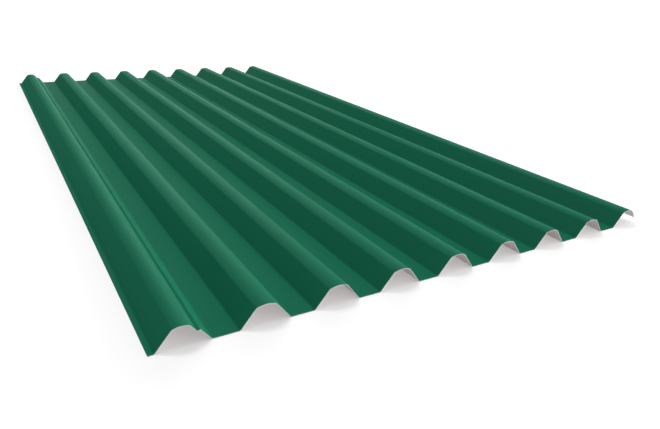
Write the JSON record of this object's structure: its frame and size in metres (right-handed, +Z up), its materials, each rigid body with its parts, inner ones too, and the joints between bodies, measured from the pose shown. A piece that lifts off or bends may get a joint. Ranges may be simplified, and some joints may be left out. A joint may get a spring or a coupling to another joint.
{
  "type": "box profile roofing sheet",
  "caption": "Roll-formed sheet of green coated steel with trapezoidal ribs and flat valleys; its side edges lap over the next sheet to shed rain from a roof.",
  "frame": {"origin": "middle of the sheet on the floor: the undersides of the valleys lie at Z = 0, and X = 0 and Y = 0 are halfway between its side edges and its cut ends", "axes": "+X across the ribs from the underlap edge to the overlap edge, +Y along the ribs, +Z up through the painted face"},
  "size_m": [1.0816, 2, 0.0347],
  "materials": {
    "coated_steel": "semi-gloss"
  },
  "bodies": {
    "root": {"roofing_sheet": "coated_steel"}
  },
  "joints": []
}
